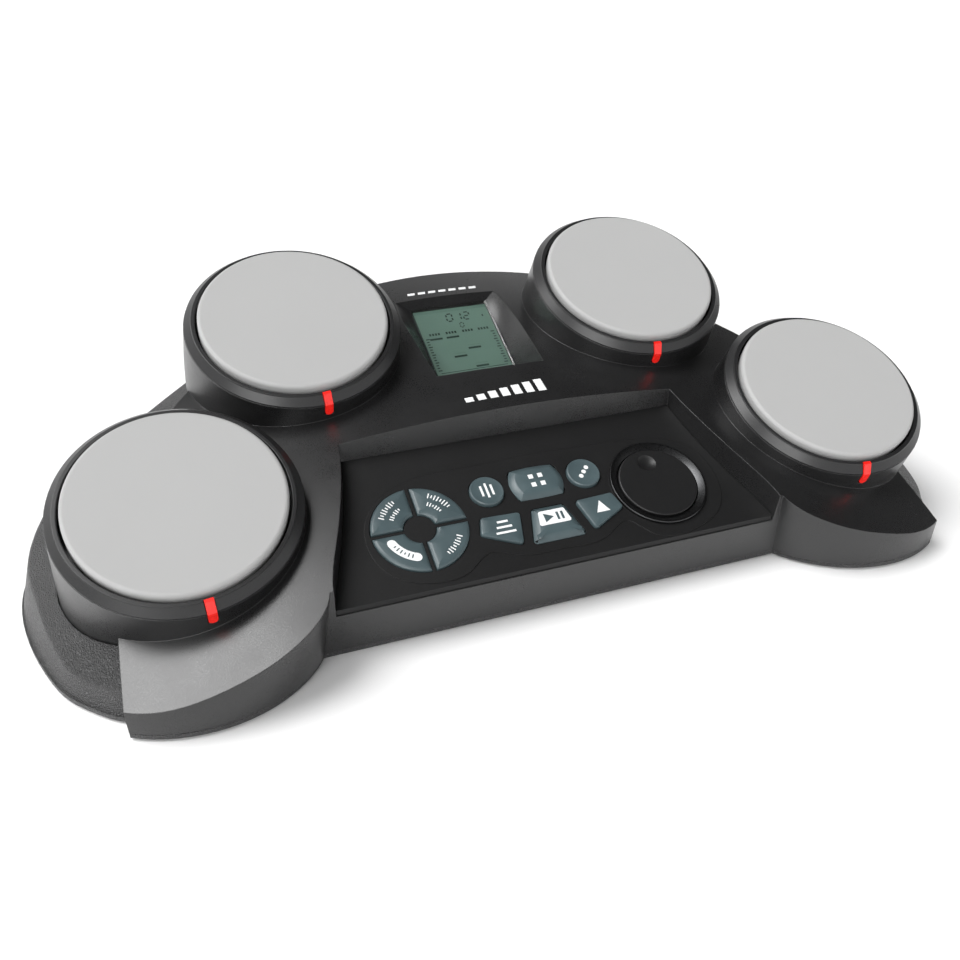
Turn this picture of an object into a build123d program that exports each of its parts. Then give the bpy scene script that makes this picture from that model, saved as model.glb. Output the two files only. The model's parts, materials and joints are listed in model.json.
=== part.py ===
"""Tabletop electronic drum pad: four round playing pads on one moulded case.

Frame: origin at the bottom centre of the case, +X to the player's right,
+Y away from the player, +Z up.  Millimetres.
"""
import os
from math import asin, atan, cos, degrees, radians, sin, sqrt

from build123d import *

# ---- driving dimensions ------------------------------------------------
WALL = 2.5
SEAM = 0.35
FOOT_LIFT = 1.5
BASE_TOP = 4.0

DECK_CENTRE = (0, 218.3, -754)
DECK_R = 866
BACK_ARC_Y = -99.7
BACK_ARC_R = 223
TUB_BULGE = 4.0
REAR_SEAM_Z = 40

LOBE_C = (180.3, -58.0)
WALL_SPLIT_Z = 46
FRONT_Y_LOW = -92.2
FRONT_Y_HIGH = -98.9
LOBE_LOW = [(124.8, -92.2), (130.9, -100.6), (139.3, -108.7), (152.7, -117.1),
            (172.1, -122.7), (194.5, -121.6), (213.6, -114.0)]
LOBE_HIGH = [(119.6, -98.9), (123.3, -107.2), (133.3, -116.1), (150.0, -122.7),
             (172.0, -124.5), (194.5, -123.2), (214.6, -115.4)]
FIN_END = (212.0, -82.0)
TUB_INNER = (192.0, 13.7)

SIDE_CORE = (140, 0)
SIDE_TOP_Z = 110
SIDE_SPHERE_C = (-168.5, 145.9, -759.4)
SIDE_SPHERE_R = 900
SIDE_ROUND = 3
SIDE_PTS = [(209.0, -106.0), (217.5, -101.8), (227.6, -92.7), (237.4, -81.2), (246.2, -62.9),
            (252.3, -44.3), (256.8, -24.4), (258.8, 2.0), (253.0, 32.0), (235.0, 57.0), (200.0, 75.0),
            (150.0, 91.5), (96.0, 99.0)]
SIDE_LEAN = [15, 22, 36, 46, 50, 50, 48, 34, 29, 24, 19, 9, 3]

PAD_TILT = 26.0
PADS = {"back_left": (-100.5, 45.0, 120.6), "back_right": (100.5, 45.0, 120.6),
        "front_left": (-177.0, -51.7, 78.1), "front_right": (177.0, -51.7, 78.1)}
PAD_R = 50
SKIN_T = 5
PLATE_T = 1.6
BEZEL_IN_R = 51.3
BEZEL_OUT_R = 57.2
TUB_TOP_D = 8.0
TUB_R = 57.5
TUB_FLARE = 0.07
WELL_R = 54.3
WELL_D = 14.0
PAD_TRAVEL = 1.0

PANEL_Y = -96.5
PANEL_Z = 29.4
PANEL_SLOPE = 23.65
PANEL_T = 2.5
RIM = [(94.9, -18.8), (101.0, -46.6), (109.0, -70.6), (117.0, -92.0), (119.0, -99.5)]
BTN_GAP = 0.35
BTN_PROUD = 2.2
BTN_SKIRT = -4.0
QUAD_C = (-67.3, 35.2)
QUAD_R = 24.5
QUAD_HUB_R = 8.3
QUAD_SPLIT = 2.4
ROUND_R = 9.1
DIAL_C = (64.5, 34.5)
DIAL_R = 21.5
TRIM_R = 25.5
TRIM_SKIRT_R = 23.6

LCD_NEAR = (22.0, 68.1)
LCD_FAR = (88.0, 98.1)
LCD_W = 48
LCD_L = 73

JACK_WALL_Y = 110
JACK_Z = 20
JACKS = {"kick_jack": (38, 3.25, 22), "hihat_jack": (16, 3.25, 22), "phones_jack": (-7, 3.25, 22),
         "aux_jack": (-27, 1.85, 15)}
DC_X = -45
POWER_X = 56

SPEAKER_AT = (152, 42)
SPEAKER_R = 38
BAY_X = 57
BAY_Y = (-62.5, -13.5)
BAY_TOP = 19.8
CELL_R = 7.2
CELL_L = 50
SCREWS = [(118, -72), (200, -20), (68, 96), (92, 5), (180, -108)]
FEET = [(60, -82), (186, -92), (232, -10), (200, 55), (48, 98)]


# ---- helpers -------------------------------------------------------------
def mirror_x(points):
    return [(-x, y) for x, y in points]


def pad_plane(name):
    tilt = radians(PAD_TILT)
    return Plane(origin=PADS[name], x_dir=(1, 0, 0), z_dir=(0, -sin(tilt), cos(tilt)))


PANEL = Plane(origin=(0, PANEL_Y, PANEL_Z), x_dir=(1, 0, 0),
              z_dir=(0, -sin(radians(PANEL_SLOPE)), cos(radians(PANEL_SLOPE))))
LCD_RISE = (LCD_FAR[1] - LCD_NEAR[1]) / (LCD_FAR[0] - LCD_NEAR[0])
GLASS = Plane(origin=(0, (LCD_NEAR[0] + LCD_FAR[0]) / 2, (LCD_NEAR[1] + LCD_FAR[1]) / 2), x_dir=(1, 0, 0),
              z_dir=(0, -sin(atan(LCD_RISE)), cos(atan(LCD_RISE))))


def toward(point, centre, amount):
    dx = centre[0] - point[0]
    dy = centre[1] - point[1]
    span = sqrt(dx * dx + dy * dy)
    return (point[0] + dx / span * amount, point[1] + dy / span * amount)


def cover_face(lobe, front_y, inset, z):
    """Plan outline of the top cover at one height, pulled in by inset."""
    right = [toward(p, LOBE_C, inset) for p in lobe]
    right[0] = (right[0][0] + inset * 0.6, front_y + inset)
    fin = (FIN_END[0] - inset, FIN_END[1])
    tub = toward(TUB_INNER, (150, -20), inset)
    radius = BACK_ARC_R - inset
    left = mirror_x(right)
    edges = [Line(left[0], right[0]), Spline(*right), Line(right[-1], fin), Line(fin, tub),
             ThreePointArc(tub, (0, BACK_ARC_Y + radius), (-tub[0], tub[1])),
             Line((-tub[0], tub[1]), (-fin[0], fin[1])), Line((-fin[0], fin[1]), left[-1]),
             Spline(*reversed(left))]
    return Pos(0, 0, z) * make_face(Curve() + edges)


def cover_prism(inset, top=170):
    low = cover_face(LOBE_LOW, FRONT_Y_LOW, inset, 0)
    high = cover_face(LOBE_HIGH, FRONT_Y_HIGH, inset, WALL_SPLIT_Z)
    lower = loft([low, high], ruled=True)
    return lower + extrude(high, top - WALL_SPLIT_Z, dir=(0, 0, 1))


def deck_ball(drop):
    return Pos(*DECK_CENTRE) * Sphere(DECK_R - drop)


def back_column(inset):
    return Pos(0, BACK_ARC_Y, 0) * Cylinder(BACK_ARC_R - inset, 170,
                                            align=(Align.CENTER, Align.CENTER, Align.MIN))


def within_back(name, inset, solid):
    return solid & back_column(inset - TUB_BULGE) if name.startswith("back") else solid


def tub(name, inset, top_d, length=70):
    """Tilted conical housing below one pad; the back pair is cut to a vertical rear wall."""
    r_top = TUB_R - inset + TUB_FLARE * (top_d - TUB_TOP_D)
    r_low = r_top + TUB_FLARE * length
    cone = Cone(r_low, r_top, length, align=(Align.CENTER, Align.CENTER, Align.MAX))
    solid = pad_plane(name) * Pos(0, 0, -top_d) * cone
    floor = Pos(0, 0, 18) * Box(700, 500, 200, align=(Align.CENTER, Align.CENTER, Align.MIN))
    return within_back(name, inset, solid & floor)


def disc(name, radius, top_d, bottom_d):
    body = Cylinder(radius, bottom_d - top_d, align=(Align.CENTER, Align.CENTER, Align.MAX))
    return pad_plane(name) * Pos(0, 0, -top_d) * body


def on_panel(face, low, high):
    return PANEL * extrude(Pos(0, 0, low) * face, high - low, dir=(0, 0, 1))


def rim_face(inset, reach=0):
    side = [(x - inset, y) for x, y in RIM]
    back = RIM[0][1] - inset
    side[0] = (side[0][0], back)
    side[-1] = (side[-1][0], side[-1][1] - reach)
    left = mirror_x(side)
    edges = [Line(left[0], side[0]), Spline(*side), Line(side[-1], left[-1]), Spline(*reversed(left))]
    return make_face(Curve() + edges)


def panel_slab(inset, low, high):
    """Solid between two planes parallel to the panel, inside the recess rim."""
    column = extrude(rim_face(inset, 6), 160, dir=(0, 0, 1))
    slab = PANEL * Pos(0, 60, low) * Box(300, 260, high - low,
                                         align=(Align.CENTER, Align.CENTER, Align.MIN))
    return column & slab


# ---- button outlines in panel coordinates ------------------------------
def quadrant(index, grow=0.0):
    ring = Circle(QUAD_R + grow) - Circle(QUAD_HUB_R - grow)
    half = QUAD_SPLIT / 2 - grow
    corner = Pos(half, half) * Rectangle(40, 40, align=(Align.MIN, Align.MIN))
    face = Rot(0, 0, 90 * index) * (ring & corner)
    return Pos(*QUAD_C) * face


def round_key(x, v, grow=0.0):
    return Pos(x, v) * Circle(ROUND_R + grow)


def pad_key(grow=0.0):
    body = Rectangle(23 + 2 * grow, 19 + 2 * grow)
    bulge = Circle(15.2 + grow) & Rectangle(27 + 2 * grow, 19 + 2 * grow)
    return Pos(0, 49.4) * (body + bulge)


def coach_key(side, grow=0.0):
    points = [(15.2, 33.2), (36.4, 34.0), (39.4, 24.0), (19.6, 14.2)]
    face = make_face(Polyline(*[(x * side, v) for x, v in points], close=True))
    face = fillet(face.vertices(), 2.0)
    return offset(face, grow) if grow else face


def start_key(grow=0.0):
    points = [(-8.8, 33.4), (8.8, 33.4), (14.6, 13.2), (-14.6, 13.2)]
    face = fillet(make_face(Polyline(*points, close=True)).vertices(), 1.8)
    return offset(face, grow) if grow else face


KEYS = {
    "button_ring_ne": lambda g=0.0: quadrant(0, g),
    "button_ring_nw": lambda g=0.0: quadrant(1, g),
    "button_ring_sw": lambda g=0.0: quadrant(2, g),
    "button_ring_se": lambda g=0.0: quadrant(3, g),
    "button_tempo": lambda g=0.0: round_key(-27.6, 49.2, g),
    "button_assign": pad_key,
    "button_chord": lambda g=0.0: round_key(26.8, 49.2, g),
    "button_coach": lambda g=0.0: coach_key(-1, g),
    "button_start": start_key,
    "button_game": lambda g=0.0: coach_key(1, g),
}


def key_cap(name):
    cap = on_panel(KEYS[name](), BTN_SKIRT, BTN_PROUD)
    flange = on_panel(KEYS[name](0.9), BTN_SKIRT, BTN_SKIRT + 1.0)
    return cap + flange


# ---- display pocket ---------------------------------------------------------
def tilted_rect(half_w, y0, z0, half_w1, y1, z1):
    pts = [(-half_w, y0, z0), (half_w, y0, z0), (half_w1, y1, z1), (-half_w1, y1, z1)]
    return make_face(Polyline(*pts, close=True))


def display_pocket(grow=0.0, sink=0.0):
    drop = grow * LCD_RISE
    low = tilted_rect(LCD_W / 2 + 0.2 + grow, LCD_NEAR[0] - grow, LCD_NEAR[1] - sink - drop,
                      LCD_W / 2 + 0.2 + grow, LCD_FAR[0] + grow, LCD_FAR[1] - sink + drop)
    high = tilted_rect(34.0 + grow, 12.0 - grow, 92.9, 38.0 + grow, 96.6 + grow, 106.0)
    return loft([low, high], ruled=True)


# ---- top cover ---------------------------------------------------------------
def lamp_profile(points, width, name):
    """Block of the given radial profile, set on the player's side of a pad."""
    side = 1 if PADS[name][0] > 0 else -1
    face = Plane.XZ * make_face(Polyline(*[(r, -d) for r, d in points], close=True))
    block = extrude(face, width / 2, both=True)
    turn = -90 - side * degrees(asin(5.5 / 57.0))
    return pad_plane(name) * Rot(0, 0, turn) * block


LAMP = [(52.4, 2.9), (54.0, 2.9), (57.8, 7.5), (58.5, 14.4), (56.6, 14.4), (55.9, 8.6), (53.6, 5.4),
        (52.4, 4.8)]
LAMP_SLOT = [(52.1, 1.0), (60.0, 6.0), (60.5, 14.8), (56.4, 14.8), (55.7, 8.7), (53.4, 5.5), (52.1, 4.9)]


def top_cover():
    outer = cover_prism(0) & deck_ball(0)
    inner = cover_prism(WALL) & deck_ball(WALL)
    low_cut = Pos(0, 0, BASE_TOP + 0.3) * Box(700, 500, 200, align=(Align.CENTER, Align.CENTER, Align.MAX))
    for name in PADS:
        outer += tub(name, 0, TUB_TOP_D)
        inner += tub(name, WALL, WELL_D + WALL)
    recess = panel_slab(0, -PANEL_T, 90)
    body = outer - recess
    body -= inner - panel_slab(-WALL, -PANEL_T - WALL, 90) - display_pocket(WALL, 3.5)
    body -= Pos(0, -30, REAR_SEAM_Z) * Box(500, 200, 60, align=(Align.CENTER, Align.MIN, Align.MAX))
    bosses = [Pos(x, y, BASE_TOP + 0.3) * Cylinder(4, 150, align=(Align.CENTER, Align.CENTER, Align.MIN))
              for x, y in SCREWS + mirror_x(SCREWS)]
    body += (Part() + bosses) & inner
    for name in PADS:
        body += within_back(name, 1.0, disc(name, TUB_R - 1.0, TUB_TOP_D, WELL_D + WALL))
    for name in PADS:
        body -= disc(name, WELL_R, -30, WELL_D)
        body -= disc(name, TUB_R + 6, -30, TUB_TOP_D)
        body -= lamp_profile(LAMP_SLOT, 4.6, name)
        body -= disc(name, 3.0, WELL_D - 1, WELL_D + WALL + 1)
    body -= panel_slab(6, -PANEL_T - WALL - 1, 0) & (Pos(0, PANEL_Y + 8, 0) * Box(
        300, 120, 200, align=(Align.CENTER, Align.MIN, Align.CENTER)))
    body -= display_pocket(0, 0)
    body -= GLASS * Pos(0, 0, -6) * Box(46, 64, 14)
    body -= low_cut
    pilots = [Pos(x, y, 0) * Cylinder(1.5, 18, align=(Align.CENTER, Align.CENTER, Align.MIN))
              for x, y in SCREWS + mirror_x(SCREWS)]
    return body - (Part() + pilots)


def island_face(grow=0.0):
    points = [(-95, 34), (-88, 52), (-70, 63.5), (-30, 67), (0, 68), (43, 66.5), (73, 64), (93, 54),
              (99, 34), (92, 13), (72, 3), (48, 6), (38, 16), (24, 9.5), (0, 8), (-24, 9.5),
              (-38, 14), (-50, 6.5), (-68, 4), (-86, 11)]
    return make_face(Spline(*points, periodic=True))


def control_panel():
    plate = panel_slab(0.2, -PANEL_T, 0)
    plate += on_panel(island_face(), -0.5, 0.5) & panel_slab(0.2, -PANEL_T, 5)
    front = Pos(0, PANEL_Y + 1.0, 0) * Box(400, 60, 200, align=(Align.CENTER, Align.MAX, Align.CENTER))
    plate -= front
    for outline in KEYS.values():
        plate -= on_panel(outline(BTN_GAP), -8, 8)
    plate -= on_panel(Pos(*DIAL_C) * Circle(TRIM_SKIRT_R + 0.1), -8, 8)
    return plate


# ---- lower case -----------------------------------------------------------------
def side_face(side, inset, lean):
    """Plan of one side of the case, pulled towards its core by the inset and the wall's lean."""
    rim = [toward(p, SIDE_CORE, inset + lean * k) for p, k in zip(SIDE_PTS, SIDE_LEAN)]
    closing = [rim[-1], (96, 60), (150, -60), rim[0]]
    rim = [(side * x, y) for x, y in rim]
    closing = [(side * x, y) for x, y in closing]
    return make_face(Curve() + [Spline(*rim), Polyline(*closing)])


def case_face():
    front = LOBE_LOW
    back = (0, BACK_ARC_Y + BACK_ARC_R)
    left = mirror_x(front)
    tub_left = (-TUB_INNER[0], TUB_INNER[1])
    edges = [Line(left[0], front[0]), Spline(*front), Line(front[-1], TUB_INNER),
             ThreePointArc(TUB_INNER, back, tub_left), Line(tub_left, left[-1]), Spline(*reversed(left))]
    return make_face(Curve() + edges) + side_face(1, 0, 0) + side_face(-1, 0, 0)


def shoulder(side, inset):
    """One side of the case: leaning side wall under a slice of a large sphere."""
    low = Pos(0, 0, FOOT_LIFT) * side_face(side, inset, 0)
    high = Pos(0, 0, SIDE_TOP_Z) * side_face(side, inset, 1)
    ball = Pos(side * SIDE_SPHERE_C[0], *SIDE_SPHERE_C[1:]) * Sphere(SIDE_SPHERE_R - inset)
    return loft([low, high], ruled=True) & ball


def rounded_shoulder(side):
    """The shoulder's outer solid, with its long top edge rounded over."""
    solid = shoulder(side, 0)
    top = [e for e in solid.edges() if e.center().Z > 20]
    return fillet(max(top, key=lambda e: e.length), SIDE_ROUND)


def lower_case():
    face = case_face()
    cavity_floor = Pos(0, 0, BASE_TOP) * Box(700, 500, 200, align=(Align.CENTER, Align.CENTER, Align.MIN))
    envelope = cover_prism(-SEAM, 150)
    for name in PADS:
        envelope += tub(name, -SEAM, TUB_TOP_D - 6, 77)
    rear = Pos(0, 60 + SEAM, REAR_SEAM_Z - SEAM) * Box(330, 100, 60, align=(Align.CENTER, Align.MIN, Align.MAX))
    envelope = (envelope - rear) & cavity_floor
    hull = rounded_shoulder(1) + rounded_shoulder(-1)
    hollow = shoulder(1, WALL) + shoulder(-1, WALL)
    rear_wall = back_column(0) & Pos(0, 62, FOOT_LIFT) * Box(220, 100, REAR_SEAM_Z - SEAM - FOOT_LIFT,
                                                             align=(Align.CENTER, Align.MIN, Align.MIN))
    behind = Pos(0, TUB_INNER[1], 0) * Box(500, 200, 400, align=(Align.CENTER, Align.MIN, Align.CENTER))
    rear_room = back_column(WALL) & behind
    room = (hollow + rear_room) & cavity_floor
    shell = hull + rear_wall - room - envelope
    base = Pos(0, 0, FOOT_LIFT) * extrude(face, BASE_TOP - FOOT_LIFT, dir=(0, 0, 1))
    body = shell + base
    niche = Pos(0, JACK_WALL_Y - WALL, 9) * Box(136, 40, 27, align=(Align.CENTER, Align.MIN, Align.MIN))
    niche_air = Pos(0, JACK_WALL_Y, 11) * Box(131, 40, 23, align=(Align.CENTER, Align.MIN, Align.MIN))
    body = body + (niche & back_column(0)) - niche_air
    for x, bore, _ in JACKS.values():
        body -= Pos(x, JACK_WALL_Y, JACK_Z) * Rot(90, 0, 0) * Cylinder(bore + 2.45, 12)
    body -= Pos(DC_X, JACK_WALL_Y, JACK_Z) * Rot(90, 0, 0) * Cylinder(4.6, 12)
    body -= Pos(POWER_X, JACK_WALL_Y, JACK_Z) * Box(8.7, 12, 8.7)
    bay = Pos(0, sum(BAY_Y) / 2, FOOT_LIFT + 0.5) * Box(2 * BAY_X + 3.2, BAY_Y[1] - BAY_Y[0] + 3.2,
                                                        BAY_TOP + 1.6 - 2.0,
                                                        align=(Align.CENTER, Align.CENTER, Align.MIN))
    bay_air = Pos(0, sum(BAY_Y) / 2, 0) * Box(2 * BAY_X, BAY_Y[1] - BAY_Y[0], BAY_TOP,
                                              align=(Align.CENTER, Align.CENTER, Align.MIN))
    body = body + bay - bay_air
    for x, y in SCREWS + mirror_x(SCREWS):
        body -= Pos(x, y, 0) * Cylinder(1.7, 20)
        body -= Pos(x, y, 0) * Cylinder(3.2, 2 * 3.0)
    for x, y in FEET + mirror_x(FEET):
        body -= Pos(x, y, FOOT_LIFT) * Cylinder(6.2, 2 * 0.8)
    slots = []
    for side in (1, -1):
        for step in range(-6, 7):
            half = sqrt(32 ** 2 - (step * 5) ** 2)
            slots.append(Pos(side * SPEAKER_AT[0], SPEAKER_AT[1] + step * 5, 3) * Box(2 * half, 2.2, 8))
        for dx, dy in ((-48, 0), (48, 0)):
            posts = Pos(side * SPEAKER_AT[0] + dx, SPEAKER_AT[1] + dy, BASE_TOP)
            body += posts * Cylinder(2.5, 8, align=(Align.CENTER, Align.CENTER, Align.MIN))
    body -= Part() + slots
    for x in (-70, 70):
        for y in (6, 76):
            body += Pos(x, y, BASE_TOP) * Cylinder(3, 8, align=(Align.CENTER, Align.CENTER, Align.MIN))
    return body


# ---- pad stack -------------------------------------------------------------------
def revolve_pad(name, points):
    face = Plane.XZ * make_face(Polyline(*[(r, -d) for r, d in points], close=True))
    return pad_plane(name) * revolve(face, Axis.Z)


def pad_skin(name):
    body = Cylinder(PAD_R, 8, align=(Align.CENTER, Align.CENTER, Align.MAX))
    body = fillet(body.edges().group_by(Axis.Z)[-1], 2.0)
    body -= Pos(0, 0, -SKIN_T) * Cylinder(48, 8, align=(Align.CENTER, Align.CENTER, Align.MAX))
    return pad_plane(name) * body


def pad_plate(name):
    return disc(name, 47.9, SKIN_T, SKIN_T + PLATE_T)


def piezo_sensor(name):
    base = SKIN_T + PLATE_T
    return disc(name, 13.5, base, base + 0.4) + disc(name, 9.5, base + 0.4, base + 0.8)


def foam_ring(name):
    return disc(name, 46, 8.3, WELL_D) - disc(name, 28, 8, WELL_D + 1)


def bezel_ring(name):
    points = [(BEZEL_IN_R, 3.8), (51.6, 3.4), (53.4, 3.4), (53.6, 3.9), (BEZEL_OUT_R, 7.3),
              (BEZEL_OUT_R, TUB_TOP_D), (54.0, TUB_TOP_D), (54.0, 13.2), (52.2, 13.2), (52.2, 6.0),
              (BEZEL_IN_R, 5.2)]
    return revolve_pad(name, points) - lamp_profile(LAMP_SLOT, 4.6, name)


def pad_light(name):
    block = lamp_profile(LAMP, 4.2, name)
    side = 1 if PADS[name][0] > 0 else -1
    turn = -90 - side * degrees(asin(5.5 / 57.0))
    column = Pos(57, 0, -6.75) * (Box(20, 4.2, 11.1) + Pos(0, 0, -5.55) * Rot(0, 90, 0) * Cylinder(2.1, 20))
    return block & (pad_plane(name) * Rot(0, 0, turn) * column)


# ---- dial -----------------------------------------------------------------------
def dial_parts():
    spot = PANEL * Pos(*DIAL_C, 0)
    dial = Pos(0, 0, -2.0) * Cylinder(DIAL_R, 4.0, align=(Align.CENTER, Align.CENTER, Align.MIN))
    dial = fillet(dial.edges().group_by(Axis.Z)[-1], 0.8)
    dial -= Pos(-1.0, 13.0, 9.3) * Rot(90, 0, 0) * Sphere(9.0)
    dial += Pos(0, 0, -7.5) * Cylinder(5.0, 5.6, align=(Align.CENTER, Align.CENTER, Align.MIN))
    dial -= Pos(0, 0, -7.6) * Cylinder(3.1, 6.6, align=(Align.CENTER, Align.CENTER, Align.MIN))
    ring = [(22.0, 2.2), (22.6, 2.8), (23.6, 2.8), (TRIM_R, 0.9), (TRIM_R, 0.55), (TRIM_SKIRT_R, 0.55),
            (TRIM_SKIRT_R, -PANEL_T), (22.0, -PANEL_T)]
    trim = revolve(Plane.XZ * make_face(Polyline(*ring, close=True)), Axis.Z)
    coder = Pos(0, 0, -10.95) * Box(13, 12, 2.9, align=(Align.CENTER, Align.CENTER, Align.MIN))
    coder += Pos(0, 0, -8.1) * Cylinder(2.7, 6.4, align=(Align.CENTER, Align.CENTER, Align.MIN))
    return spot * dial, spot * trim, spot * coder


# ---- electronics -------------------------------------------------------------------
def button_membrane():
    sheet = on_panel(Pos(-14, 36) * Rectangle(152, 54), -9.0, -8.0)
    sheet -= on_panel(Pos(*DIAL_C) * Circle(26), -12, 0)
    for outline in KEYS.values():
        sheet += on_panel(Pos(*tuple(outline().center())[:2]) * Circle(2.6), -8.1, BTN_SKIRT - 1.2)
    return sheet


def button_board():
    board = on_panel(Pos(0, 36) * Rectangle(184, 58), -12.6, -11.0)
    board += on_panel(Pos(0, 60) * Rectangle(22, 5), -16.0, -12.6)
    spacers = [(-88, 60), (88, 60), (-88, 12), (38, 60), (-38, 60)]
    for x, v in spacers:
        board += on_panel(Pos(x, v) * Rectangle(3, 3), -11.0, -9.05 if x < 50 else -8.6)
    return board


def main_board():
    board = Pos(0, 41, 12.8) * Box(156, 82, 1.6)
    parts = [(-42, 30, 24, 24, 3), (10, 40, 16, 12, 2.5), (38, 22, 12, 8, 2.5), (50, 55, 18, 10, 9),
             (-50, 66, 26, 8, 8), (-10, 66, 30, 6, 7), (0, 16, 20, 6, 6)]
    for x, y, w, d, h in parts:
        board += Pos(x, y, 13.6) * Box(w, d, h, align=(Align.CENTER, Align.CENTER, Align.MIN))
    for x, y, r, h in ((28, 66, 5, 13), (62, 36, 4, 11), (66, 66, 4, 11), (-18, 46, 3, 9), (-66, 44, 5, 13)):
        board += Pos(x, y, 13.6) * Cylinder(r, h, align=(Align.CENTER, Align.CENTER, Align.MIN))
    return board


def jack_board():
    board = Pos(0, 95, 11.2) * Box(124, 22, 1.6)
    for x, y in ((-58, 88), (58, 88)):
        board += Pos(x, y, 4.0) * Cylinder(2.5, 6.4, align=(Align.CENTER, Align.CENTER, Align.MIN))
    return board


def jack(x, bore, depth):
    width = 2 * bore + 8
    back = JACK_WALL_Y - WALL
    low = 12.0
    body = Pos(x, back, low) * Box(width, depth + 2.5, 2 * (JACK_Z - low),
                                   align=(Align.CENTER, Align.MAX, Align.MIN))
    nose = Pos(x, back - 0.5, JACK_Z) * Rot(-90, 0, 0) * Cylinder(
        bore + 2.25, WALL + 3.5, align=(Align.CENTER, Align.CENTER, Align.MIN))
    hole = Pos(x, JACK_WALL_Y + 3.0, JACK_Z) * Rot(90, 0, 0) * Cylinder(
        bore, depth, align=(Align.CENTER, Align.CENTER, Align.MIN))
    return body + nose - hole


def dc_jack():
    back = JACK_WALL_Y - WALL
    body = Pos(DC_X, back, 12.0) * Box(11, 14, 14, align=(Align.CENTER, Align.MAX, Align.MIN))
    nose = Pos(DC_X, back - 0.5, JACK_Z) * Rot(-90, 0, 0) * Cylinder(
        4.4, WALL + 1.5, align=(Align.CENTER, Align.CENTER, Align.MIN))
    hole = Pos(DC_X, JACK_WALL_Y + 2.0, JACK_Z) * Rot(90, 0, 0) * Cylinder(
        2.9, 11, align=(Align.CENTER, Align.CENTER, Align.MIN))
    pin = Pos(DC_X, JACK_WALL_Y + 0.5, JACK_Z) * Rot(90, 0, 0) * Cylinder(
        0.95, 11, align=(Align.CENTER, Align.CENTER, Align.MIN))
    return body + nose - hole + pin


def power_button():
    cap = Pos(POWER_X, JACK_WALL_Y + 2.6, JACK_Z) * Box(8, 9, 8, align=(Align.CENTER, Align.MAX, Align.CENTER))
    flange = Pos(POWER_X, JACK_WALL_Y - WALL - 2.4, JACK_Z) * Box(10, 1.5, 10)
    return cap + flange


def speaker(side):
    base = BASE_TOP + 0.05
    profile = [(0, base + 3), (30, base + 3), (34, base), (SPEAKER_R, base), (SPEAKER_R, base + 3),
               (30, base + 12), (20, base + 16), (20, base + 26), (0, base + 26)]
    body = revolve(Plane.XZ * make_face(Polyline(*profile, close=True)), Axis.Z)
    for dx in (-44, 44):
        body += Pos(dx, 0, base) * Box(22, 9, 2, align=(Align.CENTER, Align.CENTER, Align.MIN))
    for dx in (-48, 48):
        body -= Pos(dx, 0, base) * Cylinder(2.6, 8)
    return Pos(side * SPEAKER_AT[0], SPEAKER_AT[1], 0) * body


def batteries():
    cells = []
    for y in (-54, -38, -22):
        for side in (1, -1):
            flip = side * (1 if y == -38 else -1)
            cell = Cylinder(CELL_R, CELL_L - 1.2) + Pos(0, 0, flip * 0.6) * Cylinder(2.6, CELL_L)
            cells.append(Pos(side * 28, y, 11.8) * Rot(0, 90, 0) * cell)
    return Part() + cells


def battery_contacts():
    plates = []
    for y in (-54, -38, -22):
        for side in (1, -1):
            plates.append(Pos(side * (BAY_X - 1.0), y, 12.2) * Box(1.0, 11, 12))
    plates.append(Pos(0, -38, 12.2) * Box(1.0, 40, 12))
    return Part() + plates


def battery_door():
    length = BAY_Y[1] - BAY_Y[0] - 0.8
    pivot_y = BAY_Y[1] - 0.4 - 1.0
    plate = Pos(0, BAY_Y[0] + 0.4, 1.5) * Box(2 * BAY_X - 0.8, length - 1.0, 2.0,
                                              align=(Align.CENTER, Align.MIN, Align.MIN))
    roll = Pos(0, pivot_y, 2.5) * Rot(0, 90, 0) * Cylinder(1.0, 2 * BAY_X - 0.8)
    tab = Pos(0, BAY_Y[0] + 2.5, 3.5) * Box(14, 1.2, 0.8)
    grip = Pos(0, BAY_Y[0] + 9, 1.5) * Box(22, 6, 1.2)
    return plate + roll + tab - grip


def rubber_feet():
    foot = Cylinder(6.0, FOOT_LIFT + 0.8, align=(Align.CENTER, Align.CENTER, Align.MIN))
    return Part() + [Pos(x, y, 0) * foot for x, y in FEET + mirror_x(FEET)]


def case_screws():
    screws = []
    for x, y in SCREWS + mirror_x(SCREWS):
        head = Pos(x, y, 2.0) * Cylinder(2.9, 1.0, align=(Align.CENTER, Align.CENTER, Align.MIN))
        head -= Pos(x, y, 2.0) * (Box(3.2, 0.7, 1.0) + Box(0.7, 3.2, 1.0))
        shank = Pos(x, y, 3.0) * Cylinder(1.45, 13, align=(Align.CENTER, Align.CENTER, Align.MIN))
        screws.append(head + shank)
    return Part() + screws


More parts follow.
